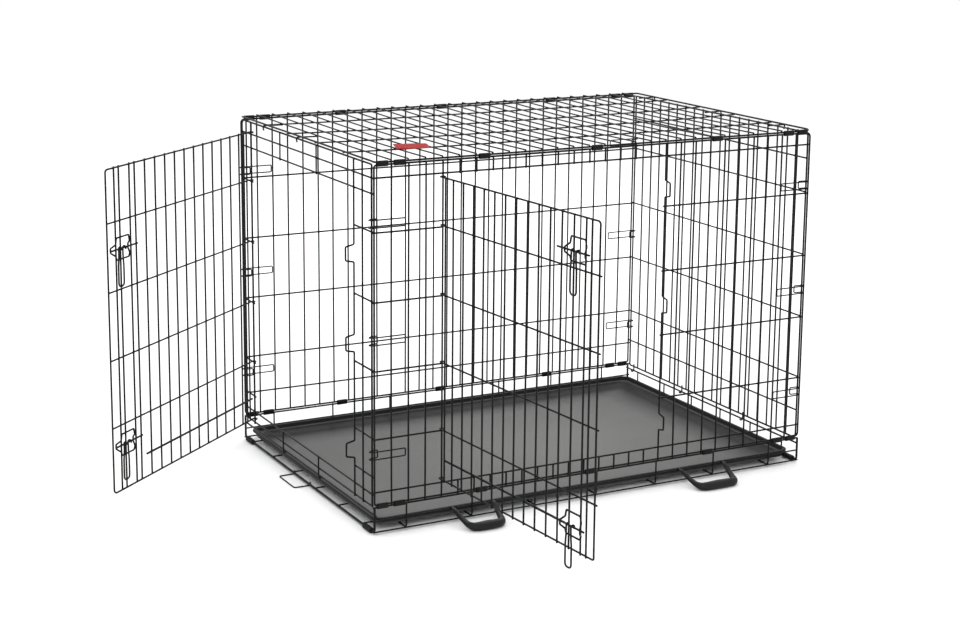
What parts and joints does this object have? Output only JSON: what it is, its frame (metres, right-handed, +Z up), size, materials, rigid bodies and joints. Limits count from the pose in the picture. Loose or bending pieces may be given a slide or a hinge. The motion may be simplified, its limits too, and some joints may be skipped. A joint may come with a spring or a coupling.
{
  "type": "wire dog crate",
  "caption": "Folding wire dog crate with two hinged grid doors, slide-bolt latches, a slide-out floor pan, fold-in end panels and swing-down carry handles.",
  "frame": {"origin": "on the ground, at the middle of the whole bounding box with both doors standing open as at rest", "axes": "+X along the long side towards the plain end panel, +Y from the front door side to the back panel, +Z up"},
  "size_m": [1.5048, 1.2534, 0.7633],
  "materials": {
    "wire": "black electro-coated steel wire, satin",
    "latch_wire": "black coated wire, satin, worn at the rubbing points",
    "clip_steel": "black rolled sheet steel, satin",
    "pan_plastic": "dark grey moulded plastic, fine grain",
    "grip_plastic": "black moulded plastic",
    "foot_rubber": "black matt rubber sleeve",
    "tag_card": "plain red card, no print"
  },
  "bodies": {
    "crate": {"base_frame": "wire", "front_panel": "wire", "back_panel": "wire", "roof_panel": "wire", "roof_tag": "tag_card", "foot_left_front": "foot_rubber", "foot_left_back": "foot_rubber", "foot_right_front": "foot_rubber", "foot_right_back": "foot_rubber", "clip_front_bottom_1": "clip_steel", "clip_front_bottom_2": "clip_steel", "clip_front_bottom_3": "clip_steel", "clip_front_bottom_4": "clip_steel", "clip_front_bottom_5": "clip_steel", "clip_front_bottom_6": "clip_steel", "clip_front_bottom_7": "clip_steel", "clip_back_bottom_1": "clip_steel", "clip_back_bottom_2": "clip_steel", "clip_back_bottom_3": "clip_steel", "clip_back_bottom_4": "clip_steel", "clip_back_bottom_5": "clip_steel", "clip_back_bottom_6": "clip_steel", "clip_back_bottom_7": "clip_steel", "clip_front_top_1": "clip_steel", "clip_front_top_2": "clip_steel", "clip_front_top_3": "clip_steel", "clip_front_top_4": "clip_steel", "clip_front_top_5": "clip_steel", "clip_front_top_6": "clip_steel", "clip_front_top_7": "clip_steel", "clip_back_top_1": "clip_steel", "clip_back_top_2": "clip_steel", "clip_back_top_3": "clip_steel", "clip_back_top_4": "clip_steel", "clip_back_top_5": "clip_steel", "clip_back_top_6": "clip_steel", "clip_back_top_7": "clip_steel"},
    "left_end": {"left_end_panel": "wire"},
    "right_end": {"right_end_panel": "wire"},
    "front_door": {"front_door": "wire", "front_door_upper_keeper": "latch_wire", "front_door_lower_keeper": "latch_wire"},
    "left_door": {"left_door": "wire", "left_door_upper_keeper": "latch_wire", "left_door_lower_keeper": "latch_wire"},
    "pan": {"pan": "pan_plastic"},
    "pan_stop": {"pan_stop": "latch_wire"},
    "carry_handle_left": {"carry_handle_left": "grip_plastic"},
    "carry_handle_right": {"carry_handle_right": "grip_plastic"},
    "front_door_upper_bolt": {"front_door_upper_bolt": "latch_wire"},
    "front_door_upper_handle": {"front_door_upper_handle": "latch_wire"},
    "front_door_lower_bolt": {"front_door_lower_bolt": "latch_wire"},
    "front_door_lower_handle": {"front_door_lower_handle": "latch_wire"},
    "left_door_upper_bolt": {"left_door_upper_bolt": "latch_wire"},
    "left_door_upper_handle": {"left_door_upper_handle": "latch_wire"},
    "left_door_lower_bolt": {"left_door_lower_bolt": "latch_wire"},
    "left_door_lower_handle": {"left_door_lower_handle": "latch_wire"}
  },
  "joints": [
    {"name": "front_door_hinge", "type": "hinge", "parent": "crate", "child": "front_door", "pos_m": [-0.15692, -0.08897, 0.41], "axis": [0, 0, -1], "range_deg": [-85.5, 64.5]},
    {"name": "left_door_hinge", "type": "hinge", "parent": "left_end", "child": "left_door", "pos_m": [-0.30802, 0.56063, 0.4], "axis": [0, 0, -1], "range_deg": [-50.5, 99.5]},
    {"name": "left_end_fold", "type": "hinge", "parent": "crate", "child": "left_end", "pos_m": [-0.30392, 0.26763, 0.04], "axis": [0, 1, 0], "range_deg": [0, 8]},
    {"name": "right_end_fold", "type": "hinge", "parent": "crate", "child": "right_end", "pos_m": [0.74008, 0.26763, 0.047], "axis": [0, -1, 0], "range_deg": [0, 88]},
    {"name": "front_door_upper_bolt_slide", "type": "slide", "parent": "front_door", "child": "front_door_upper_bolt", "axis": [0.0785, -0.9969, 0], "range_m": [0, 0.022]},
    {"name": "front_door_upper_handle_lift", "type": "hinge", "parent": "front_door_upper_bolt", "child": "front_door_upper_handle", "pos_m": [-0.13387, -0.56162, 0.657], "axis": [-0.0785, 0.9969, 0], "range_deg": [0, 120]},
    {"name": "front_door_lower_bolt_slide", "type": "slide", "parent": "front_door", "child": "front_door_lower_bolt", "axis": [0.0785, -0.9969, 0], "range_m": [0, 0.022]},
    {"name": "front_door_lower_handle_lift", "type": "hinge", "parent": "front_door_lower_bolt", "child": "front_door_lower_handle", "pos_m": [-0.13387, -0.56162, 0.147], "axis": [-0.0785, 0.9969, 0], "range_deg": [0, 120]},
    {"name": "left_door_upper_bolt_slide", "type": "slide", "parent": "left_door", "child": "left_door_upper_bolt", "axis": [-0.7716, -0.6361, 0], "range_m": [0, 0.022]},
    {"name": "left_door_upper_handle_lift", "type": "hinge", "parent": "left_door_upper_bolt", "child": "left_door_upper_handle", "pos_m": [-0.70628, 0.25061, 0.562], "axis": [0.7716, 0.6361, 0], "range_deg": [0, 120]},
    {"name": "left_door_lower_bolt_slide", "type": "slide", "parent": "left_door", "child": "left_door_lower_bolt", "axis": [-0.7716, -0.6361, 0], "range_m": [0, 0.022]},
    {"name": "left_door_lower_handle_lift", "type": "hinge", "parent": "left_door_lower_bolt", "child": "left_door_lower_handle", "pos_m": [-0.70628, 0.25061, 0.155], "axis": [0.7716, 0.6361, 0], "range_deg": [0, 120]},
    {"name": "pan_slide", "type": "slide", "parent": "crate", "child": "pan", "axis": [-1, 0, 0], "range_m": [0, 0.9]},
    {"name": "pan_stop_fold", "type": "hinge", "parent": "crate", "child": "pan_stop", "pos_m": [-0.30692, 0.29363, 0.006], "axis": [0, -1, 0], "range_deg": [-90, 0]},
    {"name": "carry_handle_left_lift", "type": "hinge", "parent": "crate", "child": "carry_handle_left", "pos_m": [-0.08442, -0.08527, 0.028], "axis": [-1, 0, 0], "range_deg": [0, 84]},
    {"name": "carry_handle_right_lift", "type": "hinge", "parent": "crate", "child": "carry_handle_right", "pos_m": [0.48258, -0.08527, 0.028], "axis": [-1, 0, 0], "range_deg": [0, 84]}
  ]
}
